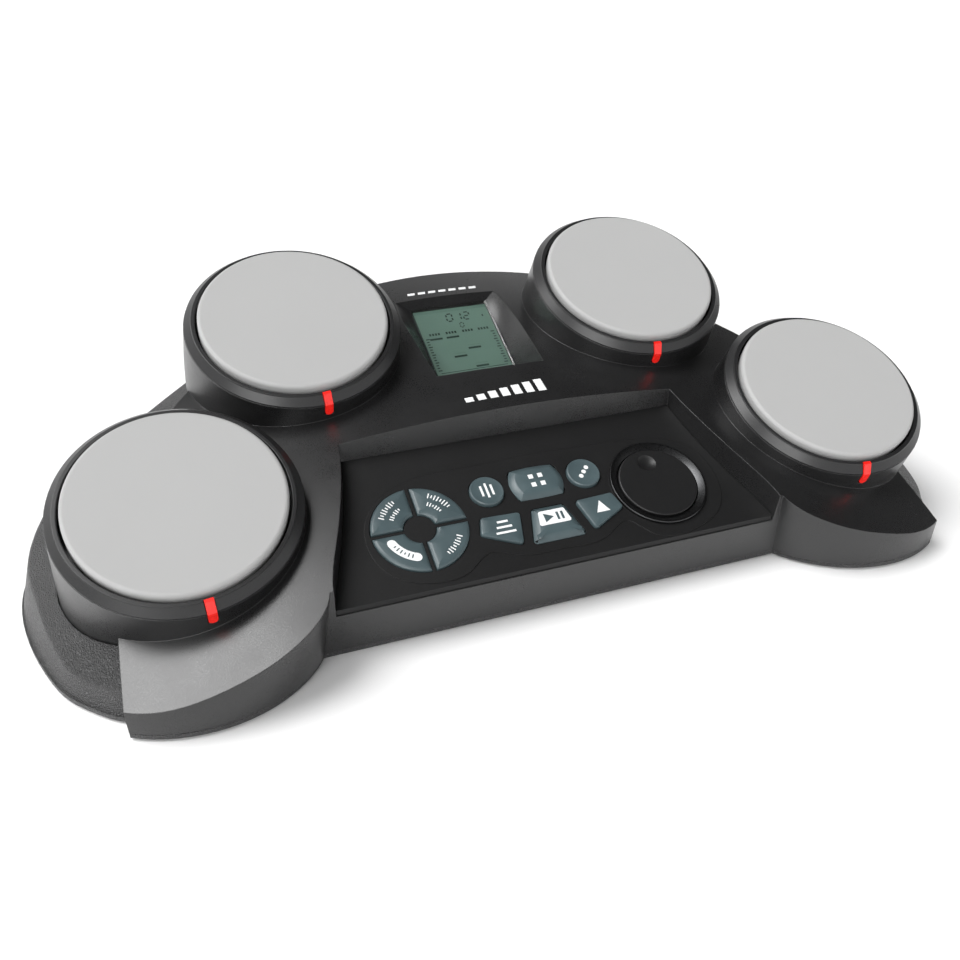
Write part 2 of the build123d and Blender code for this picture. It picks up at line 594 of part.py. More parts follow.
# ---- build and export -----------------------------------------------------------
def build():
    nodes = {"top_cover": top_cover(), "control_panel": control_panel(), "lower_case": lower_case()}
    for name in PADS:
        nodes["pad_skin_" + name] = pad_skin(name)
        nodes["pad_plate_" + name] = pad_plate(name)
        nodes["piezo_" + name] = piezo_sensor(name)
        nodes["foam_ring_" + name] = foam_ring(name)
        nodes["bezel_" + name] = bezel_ring(name)
        nodes["pad_light_" + name] = pad_light(name)
    for name in KEYS:
        nodes[name] = key_cap(name)
    nodes["jog_dial"], nodes["dial_trim"], nodes["dial_encoder"] = dial_parts()
    nodes["button_membrane"] = button_membrane()
    nodes["button_board"] = button_board()
    nodes["main_board"] = main_board()
    nodes["jack_board"] = jack_board()
    lens = GLASS * Pos(0, 0, 0.8) * Box(LCD_W, LCD_L - 1.2, 1.5)
    nodes["lcd_lens"] = lens
    nodes["lcd_module"] = GLASS * Pos(0, 0, -3.6) * Box(45, 62, 7.0)
    nodes["speaker_left"] = speaker(-1)
    nodes["speaker_right"] = speaker(1)
    for name, (x, bore, depth) in JACKS.items():
        nodes[name] = jack(x, bore, depth)
    nodes["dc_jack"] = dc_jack()
    nodes["power_button"] = power_button()
    nodes["batteries"] = batteries()
    nodes["battery_contacts"] = battery_contacts()
    nodes["battery_door"] = battery_door()
    nodes["rubber_feet"] = rubber_feet()
    nodes["case_screws"] = case_screws()
    return nodes


os.makedirs("parts", exist_ok=True)
for node, shape in build().items():
    export_step(shape, "parts/" + node + ".step")
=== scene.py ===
"""Looks for the tabletop electronic drum pad: materials, detailed keys, display and studio."""
import json
import math

import bmesh
import bpy
from mathutils import Matrix, Vector


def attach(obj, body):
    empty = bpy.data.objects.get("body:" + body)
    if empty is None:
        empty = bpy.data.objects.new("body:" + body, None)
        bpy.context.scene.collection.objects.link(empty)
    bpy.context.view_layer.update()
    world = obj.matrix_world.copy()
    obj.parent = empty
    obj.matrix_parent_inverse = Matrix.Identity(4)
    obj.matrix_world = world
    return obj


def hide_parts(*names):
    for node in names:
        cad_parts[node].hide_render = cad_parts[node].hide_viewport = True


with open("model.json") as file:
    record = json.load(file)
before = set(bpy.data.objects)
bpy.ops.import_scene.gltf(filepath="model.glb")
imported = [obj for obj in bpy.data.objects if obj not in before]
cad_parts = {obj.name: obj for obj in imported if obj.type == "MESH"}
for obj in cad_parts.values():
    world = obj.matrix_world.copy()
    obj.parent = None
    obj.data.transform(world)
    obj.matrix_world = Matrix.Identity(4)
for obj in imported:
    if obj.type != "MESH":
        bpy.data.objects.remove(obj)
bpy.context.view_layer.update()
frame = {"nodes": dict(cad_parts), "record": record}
MM = 0.001

# ---- camera ------------------------------------------------------------------
CAM_TARGET = Vector((0.0037, 0.0414, 0.0))
CAM_AZ, CAM_EL, CAM_DIST = -20.5, 30.13, 0.61135
camera_data = bpy.data.cameras.new("camera")
camera_data.lens = 36.83
camera_data.sensor_width = 36.0
camera = bpy.data.objects.new("camera", camera_data)
bpy.context.scene.collection.objects.link(camera)
az, el = math.radians(CAM_AZ), math.radians(CAM_EL)
away = Vector((math.sin(az) * math.cos(el), -math.cos(az) * math.cos(el), math.sin(el)))
camera.location = CAM_TARGET + away * CAM_DIST
camera.rotation_euler = (-away).to_track_quat("-Z", "Y").to_euler()
camera_data.clip_start = 0.02
bpy.context.scene.camera = camera


# ---- node material helpers ------------------------------------------------------
class Mat:
    """A Principled material with a few procedural layers."""

    def __init__(self, name, color, rough, metallic=0.0, spec=0.5, coat=0.0, coat_rough=0.1):
        self.mat = bpy.data.materials.new(name)
        self.mat.use_nodes = True
        self.tree = self.mat.node_tree
        self.links = self.tree.links
        self.bsdf = self.tree.nodes["Principled BSDF"]
        self.set("Base Color", (*color, 1.0))
        self.set("Roughness", rough)
        self.set("Metallic", metallic)
        self.set("Specular IOR Level", spec)
        self.set("Coat Weight", coat)
        self.set("Coat Roughness", coat_rough)
        self.coord = self.node("ShaderNodeTexCoord").outputs["Object"]
        self.normal = None

    def node(self, kind, **props):
        n = self.tree.nodes.new(kind)
        for key, value in props.items():
            setattr(n, key, value)
        return n

    def set(self, socket, value):
        self.bsdf.inputs[socket].default_value = value

    def noise(self, scale, detail=4.0, rough=0.55, distortion=0.0):
        n = self.node("ShaderNodeTexNoise")
        self.links.new(self.coord, n.inputs["Vector"])
        n.inputs["Scale"].default_value = scale
        n.inputs["Detail"].default_value = detail
        n.inputs["Roughness"].default_value = rough
        n.inputs["Distortion"].default_value = distortion
        return n.outputs["Fac"]

    def cells(self, scale, feature="F1", randomness=1.0):
        n = self.node("ShaderNodeTexVoronoi", feature=feature)
        self.links.new(self.coord, n.inputs["Vector"])
        n.inputs["Scale"].default_value = scale
        n.inputs["Randomness"].default_value = randomness
        return n.outputs["Distance"]

    def ramp(self, value, low, high, a, b):
        n = self.node("ShaderNodeMapRange")
        self.links.new(value, n.inputs["Value"])
        n.inputs["From Min"].default_value = low
        n.inputs["From Max"].default_value = high
        n.inputs["To Min"].default_value = a
        n.inputs["To Max"].default_value = b
        return n.outputs["Result"]

    def math(self, op, a, b):
        n = self.node("ShaderNodeMath", operation=op)
        for slot, v in zip(n.inputs, (a, b)):
            if isinstance(v, (int, float)):
                slot.default_value = v
            else:
                self.links.new(v, slot)
        return n.outputs["Value"]

    def blend(self, fac, a, b):
        n = self.node("ShaderNodeMix", data_type="RGBA")
        self.links.new(fac, n.inputs["Factor"])
        n.inputs["A"].default_value = (*a, 1.0)
        n.inputs["B"].default_value = (*b, 1.0)
        return n.outputs["Result"]

    def color(self, output):
        self.links.new(output, self.bsdf.inputs["Base Color"])

    def roughness(self, output):
        self.links.new(output, self.bsdf.inputs["Roughness"])

    def round_edges(self, radius):
        n = self.node("ShaderNodeBevel")
        n.samples = 6
        n.inputs["Radius"].default_value = radius
        self.normal = n.outputs["Normal"]
        self.links.new(self.normal, self.bsdf.inputs["Normal"])

    def bump(self, height, strength, distance):
        n = self.node("ShaderNodeBump")
        n.inputs["Strength"].default_value = strength
        n.inputs["Distance"].default_value = distance
        self.links.new(height, n.inputs["Height"])
        if self.normal is not None:
            self.links.new(self.normal, n.inputs["Normal"])
        self.normal = n.outputs["Normal"]
        self.links.new(self.normal, self.bsdf.inputs["Normal"])


def grain_plastic(name, color, rough, grain, depth, edge, vary=0.06, light=None, spec=0.5):
    """Moulded plastic: spark-eroded grain, uneven gloss and softly rounded edges."""
    m = Mat(name, color, rough, spec=spec)
    m.round_edges(edge)
    fine = m.noise(grain, 5.0, 0.65)
    broad = m.noise(38.0, 3.0, 0.5)
    m.roughness(m.math("ADD", m.ramp(fine, 0.3, 0.7, rough - vary, rough + vary),
                       m.ramp(broad, 0.3, 0.7, -0.03, 0.03)))
    tone = light or tuple(min(1.0, c * 1.5 + 0.002) for c in color)
    m.color(m.blend(m.ramp(fine, 0.35, 0.75, 0.0, 1.0), color, tone))
    m.bump(fine, 0.5, depth)
    return m.mat


def leather_plastic(name):
    """Coarse leather grain: pebbled cells parted by fine valleys."""
    m = Mat(name, (0.03, 0.03, 0.031), 0.5)
    m.round_edges(1.2 * MM)
    pebbles = m.cells(880.0, "DISTANCE_TO_EDGE")
    small = m.noise(1500.0, 4.0, 0.6)
    swell = m.noise(260.0, 3.0, 0.6)
    height = m.math("ADD", m.ramp(pebbles, 0.0, 0.35, 0.0, 1.0), m.ramp(small, 0.3, 0.7, -0.18, 0.18))
    height = m.math("ADD", height, m.ramp(swell, 0.3, 0.7, -0.3, 0.3))
    m.color(m.blend(m.ramp(pebbles, 0.0, 0.3, 0.0, 1.0), (0.014, 0.014, 0.0145), (0.046, 0.046, 0.047)))
    m.roughness(m.ramp(small, 0.3, 0.7, 0.3, 0.44))
    m.set("Specular IOR Level", 0.8)
    m.bump(height, 1.0, 0.5 * MM)
    return m.mat


def pad_rubber(name):
    m = Mat(name, (0.4, 0.4, 0.398), 0.62, spec=0.3)
    fine = m.noise(2600.0, 4.0, 0.6)
    cloud = m.noise(26.0, 3.0, 0.5)
    m.color(m.blend(m.math("MULTIPLY", m.ramp(cloud, 0.3, 0.7, 0.88, 1.0), m.ramp(fine, 0.3, 0.7, 0.8, 1.0)),
                    (0.345, 0.345, 0.343), (0.395, 0.395, 0.393)))
    m.roughness(m.ramp(fine, 0.3, 0.7, 0.55, 0.7))
    m.bump(fine, 0.35, 0.03 * MM)
    return m.mat


def key_rubber(name):
    m = Mat(name, (0.058, 0.085, 0.092), 0.36, spec=0.55)
    fine = m.noise(1900.0, 4.0, 0.6)
    broad = m.noise(70.0, 2.0, 0.5)
    m.color(m.blend(m.ramp(broad, 0.3, 0.7, 0.0, 1.0), (0.05, 0.074, 0.081), (0.066, 0.096, 0.104)))
    m.roughness(m.ramp(fine, 0.3, 0.7, 0.3, 0.44))
    m.bump(fine, 0.3, 0.02 * MM)
    return m.mat


def printed(name, color, rough=0.5):
    """Pad-printed ink: slightly uneven cover over the plastic."""
    m = Mat(name, color, rough)
    fine = m.noise(900.0, 3.0, 0.5)
    m.color(m.blend(m.ramp(fine, 0.25, 0.75, 0.0, 1.0), tuple(c * 0.93 for c in color), color))
    m.bump(fine, 0.15, 0.01 * MM)
    return m.mat


def metal(name, color, rough, scratch=900.0):
    m = Mat(name, color, rough, metallic=1.0)
    m.round_edges(0.3 * MM)
    fine = m.noise(scratch, 4.0, 0.6)
    m.roughness(m.ramp(fine, 0.3, 0.7, rough - 0.07, rough + 0.09))
    m.color(m.blend(m.ramp(m.noise(60.0), 0.3, 0.7, 0.0, 1.0), tuple(c * 0.85 for c in color), color))
    m.bump(fine, 0.2, 0.01 * MM)
    return m.mat


def board(name):
    """Solder-masked circuit board with darker copper runs."""
    m = Mat(name, (0.01, 0.09, 0.03), 0.35, coat=0.4)
    runs = m.cells(260.0, "DISTANCE_TO_EDGE", 0.25)
    m.color(m.blend(m.ramp(runs, 0.05, 0.09, 0.0, 1.0), (0.03, 0.16, 0.06), (0.008, 0.07, 0.025)))
    m.bump(m.ramp(runs, 0.05, 0.09, 1.0, 0.0), 0.3, 0.03 * MM)
    return m.mat


def glow(name):
    """Red light window: two reds mixed by fine noise, a weak glow and a moulded surface."""
    m = Mat(name, (0.85, 0.012, 0.008), 0.3, coat=0.3)
    fine = m.noise(700.0, 3.0, 0.5)
    m.color(m.blend(m.ramp(fine, 0.3, 0.7, 0.0, 1.0), (0.72, 0.01, 0.006), (0.95, 0.018, 0.012)))
    m.set("Emission Color", (1.0, 0.015, 0.006, 1.0))
    m.set("Emission Strength", 0.12)
    m.bump(fine, 0.2, 0.02 * MM)
    return m.mat


def lcd_back(name):
    m = Mat(name, (0.1, 0.165, 0.135), 0.42, coat=0.4, coat_rough=0.06)
    wide = m.noise(14.0, 2.0, 0.5)
    fine = m.noise(2400.0, 3.0, 0.5)
    m.color(m.blend(m.ramp(wide, 0.3, 0.7, 0.0, 1.0), (0.088, 0.15, 0.122), (0.118, 0.188, 0.155)))
    m.bump(fine, 0.12, 0.01 * MM)
    return m.mat


def clear(name):
    m = Mat(name, (0.98, 1.0, 0.985), 0.04)
    m.set("Transmission Weight", 1.0)
    m.set("IOR", 1.1)
    m.bump(m.noise(40.0, 2.0, 0.5), 0.03, 0.02 * MM)
    return m.mat


BLACK = (0.008, 0.008, 0.0083)
MATERIALS = {
    "case_black": grain_plastic("case_black", BLACK, 0.31, 2100.0, 0.03 * MM, 0.6 * MM, vary=0.06, spec=0.72),
    "panel_black": grain_plastic("panel_black", (0.007, 0.007, 0.0072), 0.46, 2000.0, 0.03 * MM,
                                 0.4 * MM, spec=0.3),
    "case_texture": leather_plastic("case_texture"),
    "pad_rubber": pad_rubber("pad_rubber"),
    "steel_plate": metal("steel_plate", (0.55, 0.56, 0.57), 0.35),
    "brass_disc": metal("brass_disc", (0.65, 0.48, 0.2), 0.3),
    "foam": grain_plastic("foam", (0.03, 0.03, 0.032), 0.85, 900.0, 0.1 * MM, 0.3 * MM),
    "bezel_grey": grain_plastic("bezel_grey", (0.012, 0.012, 0.0125), 0.33, 2300.0, 0.018 * MM, 0.5 * MM),
    "light_red": glow("light_red"),
    "button_grey": key_rubber("button_grey"),
    "dial_black": grain_plastic("dial_black", (0.008, 0.008, 0.0083), 0.4, 2300.0, 0.015 * MM,
                                0.4 * MM, spec=0.4),
    "trim_silver": metal("trim_silver", (0.075, 0.076, 0.078), 0.3, 1800.0),
    "metal_can": metal("metal_can", (0.6, 0.6, 0.61), 0.3),
    "membrane": grain_plastic("membrane", (0.3, 0.31, 0.32), 0.5, 900.0, 0.03 * MM, 0.2 * MM),
    "board_green": board("board_green"),
    "lcd_clear": clear("lcd_clear"),
    "lcd_green": lcd_back("lcd_green"),
    "speaker_black": grain_plastic("speaker_black", (0.012, 0.012, 0.012), 0.6, 700.0, 0.05 * MM, 0.3 * MM),
    "jack_black": grain_plastic("jack_black", (0.008, 0.008, 0.0085), 0.4, 1500.0, 0.02 * MM, 0.3 * MM),
    "cell_jacket": grain_plastic("cell_jacket", (0.05, 0.12, 0.3), 0.3, 300.0, 0.01 * MM, 0.2 * MM),
    "foot_rubber": grain_plastic("foot_rubber", (0.012, 0.012, 0.012), 0.8, 1200.0, 0.05 * MM, 0.3 * MM),
    "screw_steel": metal("screw_steel", (0.25, 0.25, 0.26), 0.35),
}
WHITE_INK = printed("ink_white", (0.82, 0.83, 0.83))
LCD_INK = printed("lcd_ink", (0.008, 0.022, 0.018), 0.4)
# Tone of the faint unlit segments, also used for a painted shade band along the display's top edge.
LCD_FAINT_AND_SHADE = printed("lcd_faint_and_shade", (0.085, 0.145, 0.118), 0.4)
LCD_MASK = grain_plastic("lcd_mask", (0.006, 0.006, 0.0065), 0.4, 2000.0, 0.01 * MM, 0.2 * MM)

slots = {s["node"]: s["material_slot"] for s in frame["record"]["subparts"]}
for node, obj in frame["nodes"].items():
    obj.data.materials.clear()
    obj.data.materials.append(MATERIALS[slots[node]])


# ---- planes of the design, as in the CAD ------------------------------------------
PANEL_ORIGIN = Vector((0.0, -96.5, 29.4)) * MM
PANEL_TILT = math.radians(23.65)
GLASS_TILT = math.atan(30.0 / 66.0)
GLASS_ORIGIN = Vector((0.0, 55.0, 83.1)) * MM
DECK_CENTRE = Vector((0.0, 218.3, -754.0)) * MM
DECK_R = 866.0 * MM


def plane(origin, tilt):
    return Matrix.Translation(origin) @ Matrix.Rotation(tilt, 4, "X")


PANEL = plane(PANEL_ORIGIN, PANEL_TILT)
GLASS = plane(GLASS_ORIGIN, GLASS_TILT)


def link(name, mesh, material, body="case", smooth_angle=35.0):
    obj = bpy.data.objects.new(name, mesh)
    bpy.context.scene.collection.objects.link(obj)
    mesh.materials.append(material)
    mesh.shade_smooth()
    mesh.set_sharp_from_angle(angle=math.radians(smooth_angle))
    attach(obj, body)
    return obj


def offset_loop(points, inward):
    """The closed outline moved inwards by a distance, corner by corner."""
    count = len(points)
    area = sum(points[i][0] * points[(i + 1) % count][1] - points[(i + 1) % count][0] * points[i][1]
               for i in range(count))
    turn = 1 if area > 0 else -1
    moved = []
    for i in range(count):
        a, b, c = (Vector(points[(i + k) % count]) for k in (-1, 0, 1))
        d1, d2 = (b - a).normalized(), (c - b).normalized()
        n1, n2 = Vector((-d1.y, d1.x)) * turn, Vector((-d2.y, d2.x)) * turn
        mean = n1 + n2
        mean = mean.normalized() if mean.length > 1e-6 else n1
        moved.append(b + mean * (inward / max(0.5, mean.dot(n1))))
    return [(v.x, v.y) for v in moved]


def rounded(points, radius, steps=6):
    """Corner points to a closed outline whose corners are arcs."""
    out = []
    count = len(points)
    for i in range(count):
        a, b, c = (Vector(points[(i + k) % count]) for k in (-1, 0, 1))
        u, v = (a - b).normalized(), (c - b).normalized()
        half = math.acos(max(-1.0, min(1.0, u.dot(v)))) / 2
        reach = min(radius / math.tan(half), 0.45 * (a - b).length, 0.45 * (c - b).length)
        r = reach * math.tan(half)
        centre = b + (u + v).normalized() * (r / math.sin(half))
        start, end = b + u * reach - centre, b + v * reach - centre
        sweep = start.angle_signed(end) * -1
        for k in range(steps + 1):
            out.append(tuple(centre + Matrix.Rotation(sweep * k / steps, 2) @ start))
    return out


def circle(cx, cy, r, steps=64, start=0.0, sweep=2 * math.pi, closed=True):
    count = steps if closed else steps + 1
    return [(cx + r * math.cos(start + sweep * k / steps), cy + r * math.sin(start + sweep * k / steps))
            for k in range(count)]


def stack(name, outline, levels, matrix, material, body, top_bulge=0.0):
    """A key or plate: the outline at each (inset, height) level, closed top and bottom.  Millimetres."""
    bm = bmesh.new()
    rings = []
    for inset, height in levels:
        loop = offset_loop(outline, inset) if inset else outline
        rings.append([bm.verts.new(matrix @ (Vector((x, y, height)) * MM)) for x, y in loop])
    for low, high in zip(rings, rings[1:]):
        for i in range(len(low)):
            j = (i + 1) % len(low)
            bm.faces.new((low[i], low[j], high[j], high[i]))
    bm.faces.new(list(reversed(rings[0])))
    top = rings[-1]
    middle = sum((v.co for v in top), Vector()) / len(top)
    up = matrix.to_3x3() @ Vector((0, 0, 1))
    inner = [bm.verts.new(v.co.lerp(middle, 0.5) + up * top_bulge * 0.75 * MM) for v in top]
    hub = bm.verts.new(middle + up * top_bulge * MM)
    for i in range(len(top)):
        j = (i + 1) % len(top)
        bm.faces.new((top[i], top[j], inner[j], inner[i]))
        bm.faces.new((inner[i], inner[j], hub))
    bmesh.ops.recalc_face_normals(bm, faces=bm.faces)
    mesh = bpy.data.meshes.new(name)
    bm.to_mesh(mesh)
    bm.free()
    return link(name, mesh, material, body, 28.0)


def decal(name, shapes, matrix, height, material, body="case", thick=0.05, lift=None):
    """Thin printed shapes on a plane, or on a curved surface given by lift(x, y).  Millimetres."""
    bm = bmesh.new()
    for outline in shapes:
        tops, lows = [], []
        for x, y in outline:
            z = height if lift is None else lift(x, y)
            tops.append(bm.verts.new(matrix @ (Vector((x, y, z + thick)) * MM)))
            lows.append(bm.verts.new(matrix @ (Vector((x, y, z - thick)) * MM)))
        top = bm.faces.new(tops)
        bottom = bm.faces.new(list(reversed(lows)))
        for i in range(len(tops)):
            j = (i + 1) % len(tops)
            bm.faces.new((lows[i], lows[j], tops[j], tops[i]))
        bmesh.ops.triangulate(bm, faces=[top, bottom])
    bmesh.ops.recalc_face_normals(bm, faces=bm.faces)
    mesh = bpy.data.meshes.new(name)
    bm.to_mesh(mesh)
    bm.free()
    return link(name, mesh, material, body, 20.0)


def bar(cx, cy, w, h, turn=0.0):
    m = Matrix.Rotation(math.radians(turn), 2)
    return [tuple(Vector((cx, cy)) + m @ Vector(p)) for p in
            ((-w / 2, -h / 2), (w / 2, -h / 2), (w / 2, h / 2), (-w / 2, h / 2))]


def arrow(cx, cy, size, turn=0.0):
    m = Matrix.Rotation(math.radians(turn), 2)
    return [tuple(Vector((cx, cy)) + m @ Vector(p)) for p in
            ((-size * 0.5, -size * 0.58), (size * 0.6, 0.0), (-size * 0.5, size * 0.58))]


# ---- keys --------------------------------------------------------------------------
QUAD_C = (-67.3, 35.2)
QUAD_R, QUAD_HUB, QUAD_SPLIT = 24.5, 8.3, 2.4
SKIRT, PROUD = -4.0, 2.2


def quadrant(index):
    """Quarter ring between the hub and the outer circle, as a closed outline."""
    half = QUAD_SPLIT / 2
    a0, a1 = math.asin(half / QUAD_R), math.asin(half / QUAD_HUB)
    outer = circle(0, 0, QUAD_R, 30, a0, math.pi / 2 - 2 * a0, closed=False)
    inner = circle(0, 0, QUAD_HUB, 16, math.pi / 2 - a1, -(math.pi / 2 - 2 * a1), closed=False)
    m = Matrix.Rotation(math.pi / 2 * index, 2)
    return [tuple(Vector(QUAD_C) + m @ Vector(p)) for p in outer + inner]


def bulged_key():
    sides = []
    for x0, x1, y0, y1, bow in ((-11.7, 11.7, 39.9, 39.9, 0.5), (11.7, 11.7, 39.9, 58.9, 3.0),
                                (11.7, -11.7, 58.9, 58.9, 0.8), (-11.7, -11.7, 58.9, 39.9, 3.0)):
        dx, dy = x1 - x0, y1 - y0
        length = math.hypot(dx, dy)
        for k in range(12):
            t = k / 12
            lean = bow * 4 * t * (1 - t)
            sides.append((x0 + dx * t + dy / length * lean, y0 + dy * t - dx / length * lean))
    return sides


def coach_outline(side):
    points = [(15.2, 33.2), (36.4, 34.0), (39.4, 24.0), (19.6, 14.2)]
    return rounded([(x * side, v) for x, v in points], 1.8)


KEY_LEVELS = [(0.0, SKIRT), (0.0, 1.0), (0.12, 1.5), (0.45, 1.95), (1.0, PROUD)]
QUAD_LEVELS = [(0.0, SKIRT), (0.0, 0.9), (0.15, 1.3), (1.2, 2.1), (1.6, PROUD)]
ROUND_LEVELS = [(0.0, SKIRT), (0.0, 1.2), (0.25, 1.9), (0.8, 2.35), (1.6, 2.2)]
PAD_LEVELS = [(0.0, SKIRT), (0.0, 0.5), (0.3, 0.9), (3.0, 2.75), (3.5, 2.9)]
keys = {
    "button_ring_ne": (quadrant(0), QUAD_LEVELS, 0.12),
    "button_ring_nw": (quadrant(1), QUAD_LEVELS, 0.12),
    "button_ring_sw": (quadrant(2), QUAD_LEVELS, 0.12),
    "button_ring_se": (quadrant(3), QUAD_LEVELS, 0.12),
    "button_tempo": (circle(-27.6, 49.2, 9.1), ROUND_LEVELS, 0.1),
    "button_assign": (bulged_key(), PAD_LEVELS, 0.2),
    "button_chord": (circle(26.8, 49.2, 9.1), ROUND_LEVELS, 0.1),
    "button_coach": (coach_outline(-1), KEY_LEVELS, 0.1),
    "button_start": (rounded([(-8.8, 33.4), (-14.6, 13.2), (14.6, 13.2), (8.8, 33.4)], 1.6), PAD_LEVELS, 0.2),
    "button_game": (coach_outline(1), KEY_LEVELS, 0.1),
}
for name, (outline, levels, bulge) in keys.items():
    cap = stack("key_" + name[7:], outline, levels, PANEL, MATERIALS["button_grey"], name + "_body",
                bulge)
    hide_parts(name)


def mark(name, shapes, body, height=2.35):
    return decal("mark_" + name, shapes, PANEL, height, WHITE_INK, body)


def arc_pill(angle, radius, half_width, spread):
    """Rounded bar bent along the ring."""
    steps = 14
    outer = [(radius + half_width, angle - spread + 2 * spread * k / steps) for k in range(steps + 1)]
    inner = [(radius - half_width, angle + spread - 2 * spread * k / steps) for k in range(steps + 1)]
    turn = half_width / radius
    points = outer + [(radius + half_width * math.cos(t), angle + spread + turn * math.sin(t))
                      for t in (0.5, 1.0, 1.57, 2.1, 2.6)]
    points += inner + [(radius - half_width * math.cos(t), angle - spread - turn * math.sin(t))
                       for t in (0.5, 1.0, 1.57, 2.1, 2.6)]
    return [(QUAD_C[0] + r * math.cos(a), QUAD_C[1] + r * math.sin(a)) for r, a in points]


def arc_strokes(index, radius, count, height, step):
    """A row of short upright strokes along the ring, standing in for a caption."""
    middle = math.pi / 4 + math.pi / 2 * index
    strokes = []
    for k in range(count):
        angle = middle + (k - (count - 1) / 2) * step
        x, y = QUAD_C[0] + radius * math.cos(angle), QUAD_C[1] + radius * math.sin(angle)
        tall = height * (1.0 if k % 3 else 0.6)
        strokes.append(bar(x, y, tall, 0.62, math.degrees(angle)))
    return strokes


for index, label in ((0, "ne"), (1, "nw"), (3, "se")):
    shapes = arc_strokes(index, 19.6, 8, 3.0, 0.085)
    if index != 3:
        shapes += arc_strokes(index, 14.6, 6, 2.2, 0.1)
    mark("ring_" + label, shapes, "button_ring_" + label + "_body", 2.38)
sw_angle = math.pi * 1.25
mark("ring_sw", [arc_pill(sw_angle, 17.4, 2.3, 0.42)], "button_ring_sw_body", 2.36)
decal("mark_ring_sw_caption", arc_strokes(2, 17.4, 6, 2.2, 0.115), PANEL, 2.43, MATERIALS["button_grey"],
      "button_ring_sw_body")
mark("tempo", [bar(-30.4, 49.2, 1.2, 6.4), bar(-27.6, 49.2, 1.2, 9.0), bar(-24.8, 49.2, 1.2, 6.4)],
     "button_tempo_body", 2.3)
mark("assign", [bar(x, y, 2.6, 2.6) for x in (-2.6, 2.6) for y in (46.8, 52.0)], "button_assign_body", 3.08)
mark("chord", [circle(24.6 + 2.3 * k, 47.0 + 2.4 * k, 1.25, 20) for k in range(3)], "button_chord_body", 2.3)
mark("coach", [bar(-26.4, 22.6 + 3.2 * k, 10.5 - 2.4 * k, 1.2) for k in range(3)], "button_coach_body", 2.36)
start_plate = rounded([(-7.0, 29.8), (-8.8, 21.4), (8.8, 21.4), (7.0, 29.8)], 1.0)
mark("start", [start_plate], "button_start_body", 3.08)
play_pause = [arrow(-2.6, 25.6, 4.6), bar(2.4, 25.6, 1.3, 4.6), bar(4.9, 25.6, 1.3, 4.6)]
decal("mark_start_symbol", play_pause, PANEL,
      3.16, MATERIALS["button_grey"], "button_start_body")
mark("game", [arrow(27.4, 26.2, 6.4, 90)], "button_game_body", 2.36)

DIAL_C = (64.5, 34.5)


def lathe(name, profile, centre, matrix, material, body, steps=128):
    """Ring turned about a panel point from a closed (radius, height) profile.  Millimetres."""
    bm = bmesh.new()
    rings = []
    for k in range(steps):
        turn = 2 * math.pi * k / steps
        across, along = math.cos(turn), math.sin(turn)
        spots = [Vector((centre[0] + r * across, centre[1] + r * along, h)) for r, h in profile]
        rings.append([bm.verts.new(matrix @ (spot * MM)) for spot in spots])
    for k, ring in enumerate(rings):
        other = rings[(k + 1) % steps]
        for i in range(len(profile)):
            j = (i + 1) % len(profile)
            bm.faces.new((ring[i], other[i], other[j], ring[j]))
    bmesh.ops.recalc_face_normals(bm, faces=bm.faces)
    mesh = bpy.data.meshes.new(name)
    bm.to_mesh(mesh)
    bm.free()
    return link(name, mesh, material, body, 30.0)


DISH = [(22.0, -2.4), (22.0, 0.75), (22.3, 0.9), (25.3, 2.3), (25.7, 2.4), (26.1, 2.3), (26.4, 1.9),
        (26.4, 0.6),
        (23.6, 0.6), (23.6, -2.4)]
dish = lathe("dial_dish", DISH, DIAL_C, PANEL, MATERIALS["trim_silver"], "case")
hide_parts("dial_trim")

# ---- display ---------------------------------------------------------------------------
LCD_HALF = (23.0, 28.5)
LCD_Y0 = 5.1
plate = rounded([(-23.6, -35.0), (23.6, -35.0), (23.6, 35.0), (-23.6, 35.0)], 0.8)
lcd_mask = stack("lcd_mask", plate, [(0.0, -0.3), (0.0, 0.0)], GLASS, LCD_MASK, "case")
lcd_area = rounded([(-LCD_HALF[0], LCD_Y0 - LCD_HALF[1]), (LCD_HALF[0], LCD_Y0 - LCD_HALF[1]),
                    (LCD_HALF[0], LCD_Y0 + LCD_HALF[1]), (-LCD_HALF[0], LCD_Y0 + LCD_HALF[1])], 0.4)
lcd_face = stack("lcd_face", lcd_area, [(0.0, 0.0), (0.0, 0.12)], GLASS, MATERIALS["lcd_green"], "case")

SEGMENTS = {"0": "abcdef", "1": "bc", "2": "abged", "8": "abcdefg", "4": "fgbc"}


def digit(char, cx, cy, w, h, t):
    """Seven-segment digit made of slim bars."""
    places = {"a": (0, h / 2, w - t, t * 0.8), "g": (0, 0, w - t, t * 0.8), "d": (0, -h / 2, w - t, t * 0.8),
              "b": (w / 2, h / 4, t * 0.8, h / 2 - t), "c": (w / 2, -h / 4, t * 0.8, h / 2 - t),
              "f": (-w / 2, h / 4, t * 0.8, h / 2 - t), "e": (-w / 2, -h / 4, t * 0.8, h / 2 - t)}
    return [bar(cx + places[s][0] + y_lean(places[s][1]), cy + places[s][1], places[s][2], places[s][3])
            for s in SEGMENTS[char]]


def y_lean(dy):
    return dy * 0.08


